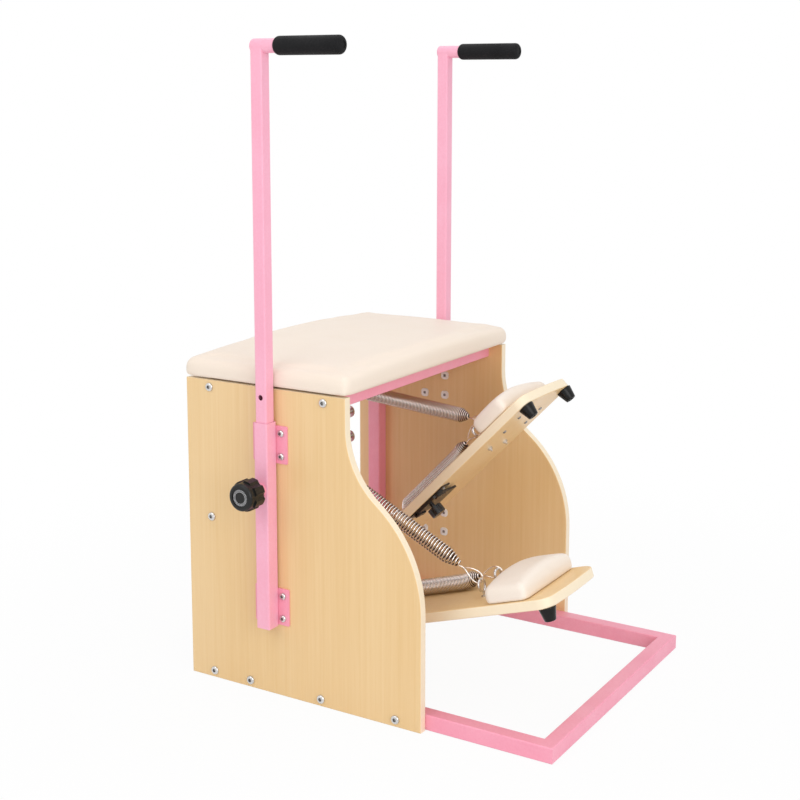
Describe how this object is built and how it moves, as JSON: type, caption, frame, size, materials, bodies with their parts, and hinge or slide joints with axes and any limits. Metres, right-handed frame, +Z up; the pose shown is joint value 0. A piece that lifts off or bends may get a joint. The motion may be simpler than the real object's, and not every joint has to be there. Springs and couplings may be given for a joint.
{
  "type": "pilates chair",
  "caption": "Pilates chair with shaped plywood sides, a padded seat, sprung split pedals joined by a latch, and sliding side handles held by pull pins.",
  "frame": {"origin": "on the floor, under the middle of the whole chair", "axes": "+Z up, -Y towards the front where the pedals are, +X to the right of someone who stands in front of the chair and faces it"},
  "size_m": [0.828, 0.785, 1.241],
  "materials": {
    "maple_ply": "pale plywood under clear satin lacquer",
    "pink_steel": "pink powder coat",
    "leatherette": "cream grained leatherette",
    "bright_steel": "bright plating",
    "plain_steel": "plain steel",
    "black_foam": "dense black foam",
    "black_plastic": "moulded black",
    "black_rubber": "matt black"
  },
  "bodies": {
    "frame": {"left_side_panel": "maple_ply", "right_side_panel": "maple_ply", "base_left_rail": "pink_steel", "base_right_rail": "pink_steel", "base_front_rail": "pink_steel", "base_rear_rail": "pink_steel", "base_plugs": "black_plastic", "left_rear_upright": "pink_steel", "right_rear_upright": "pink_steel", "seat_front_rail": "pink_steel", "seat_rear_rail": "pink_steel", "seat_left_rail": "pink_steel", "seat_right_rail": "pink_steel", "left_spring_rack": "pink_steel", "right_spring_rack": "pink_steel", "spring_pegs": "bright_steel", "seat_board": "maple_ply", "seat_cushion": "leatherette", "seat_screws": "bright_steel", "panel_bolts": "bright_steel", "left_sleeve": "pink_steel", "right_sleeve": "pink_steel", "sleeve_brackets": "pink_steel", "bracket_bolts": "bright_steel", "bracket_nuts": "bright_steel", "pin_bosses": "pink_steel", "pedal_hinge_ears": "pink_steel", "pedal_axle": "plain_steel", "axle_nuts": "bright_steel", "left_outer_spring": "bright_steel", "right_outer_spring": "bright_steel"},
    "left_handle": {"left_post": "pink_steel", "left_grip": "black_foam", "left_post_glide": "black_plastic"},
    "left_pull_pin": {"left_pin": "plain_steel"},
    "left_pull_knob": {"left_knob": "black_plastic"},
    "left_pedal": {"left_pedal_board": "maple_ply", "left_pedal_hinge": "pink_steel", "left_pedal_bushes": "black_plastic", "left_pedal_pad": "leatherette", "left_pedal_feet": "black_rubber", "left_pedal_hooks": "bright_steel", "left_pedal_screws": "bright_steel", "latch_keeper": "plain_steel", "left_inner_spring": "bright_steel"},
    "right_handle": {"right_post": "pink_steel", "right_grip": "black_foam", "right_post_glide": "black_plastic"},
    "right_pull_pin": {"right_pin": "plain_steel"},
    "right_pull_knob": {"right_knob": "black_plastic"},
    "right_pedal": {"right_pedal_board": "maple_ply", "right_pedal_hinge": "pink_steel", "right_pedal_bushes": "black_plastic", "right_pedal_pad": "leatherette", "right_pedal_feet": "black_rubber", "right_pedal_hooks": "bright_steel", "right_pedal_screws": "bright_steel", "latch_bracket": "plain_steel"},
    "latch": {"latch_bar": "plain_steel"},
    "latch_turning_knob": {"latch_knob": "black_plastic"}
  },
  "joints": [
    {"name": "left_pedal_swing", "type": "hinge", "parent": "frame", "child": "left_pedal", "pos_m": [0, 0.3305, 0.065], "axis": [-1, 0, 0], "range_deg": [-15.8, 34.6], "stiffness_Nm_per_rad": 60, "springref_deg": 9.84, "deforming": ["left_outer_spring"]},
    {"name": "left_post_slide", "type": "slide", "parent": "frame", "child": "left_handle", "axis": [0, 0, 1], "range_m": [-0.174, 0.116]},
    {"name": "left_pin_pull", "type": "slide", "parent": "frame", "child": "left_pull_pin", "axis": [1, 0, 0], "range_m": [0, 0.01]},
    {"name": "left_knob_turn", "type": "hinge", "parent": "left_pull_pin", "child": "left_pull_knob", "pos_m": [-0.38, 0.1865, 0.414], "axis": [1, 0, 0], "continuous": true},
    {"name": "right_pedal_swing", "type": "hinge", "parent": "frame", "child": "right_pedal", "pos_m": [0, 0.3305, 0.065], "axis": [-1, 0, 0], "range_deg": [-44.3, 6.1], "stiffness_Nm_per_rad": 60, "springref_deg": 7.86, "deforming": ["right_outer_spring"]},
    {"name": "right_post_slide", "type": "slide", "parent": "frame", "child": "right_handle", "axis": [0, 0, 1], "range_m": [-0.174, 0.116]},
    {"name": "right_pin_pull", "type": "slide", "parent": "frame", "child": "right_pull_pin", "axis": [-1, 0, 0], "range_m": [0, 0.01]},
    {"name": "right_knob_turn", "type": "hinge", "parent": "right_pull_pin", "child": "right_pull_knob", "pos_m": [0.38, 0.1865, 0.414], "axis": [1, 0, 0], "continuous": true},
    {"name": "latch_slide", "type": "slide", "parent": "right_pedal", "child": "latch", "axis": [-1, 0, 0], "range_m": [0, 0.058]},
    {"name": "latch_knob_turn", "type": "hinge", "parent": "latch", "child": "latch_turning_knob", "pos_m": [0.04, 0.03911, 0.30203], "axis": [0, 0.7181, 0.6959], "continuous": true}
  ]
}
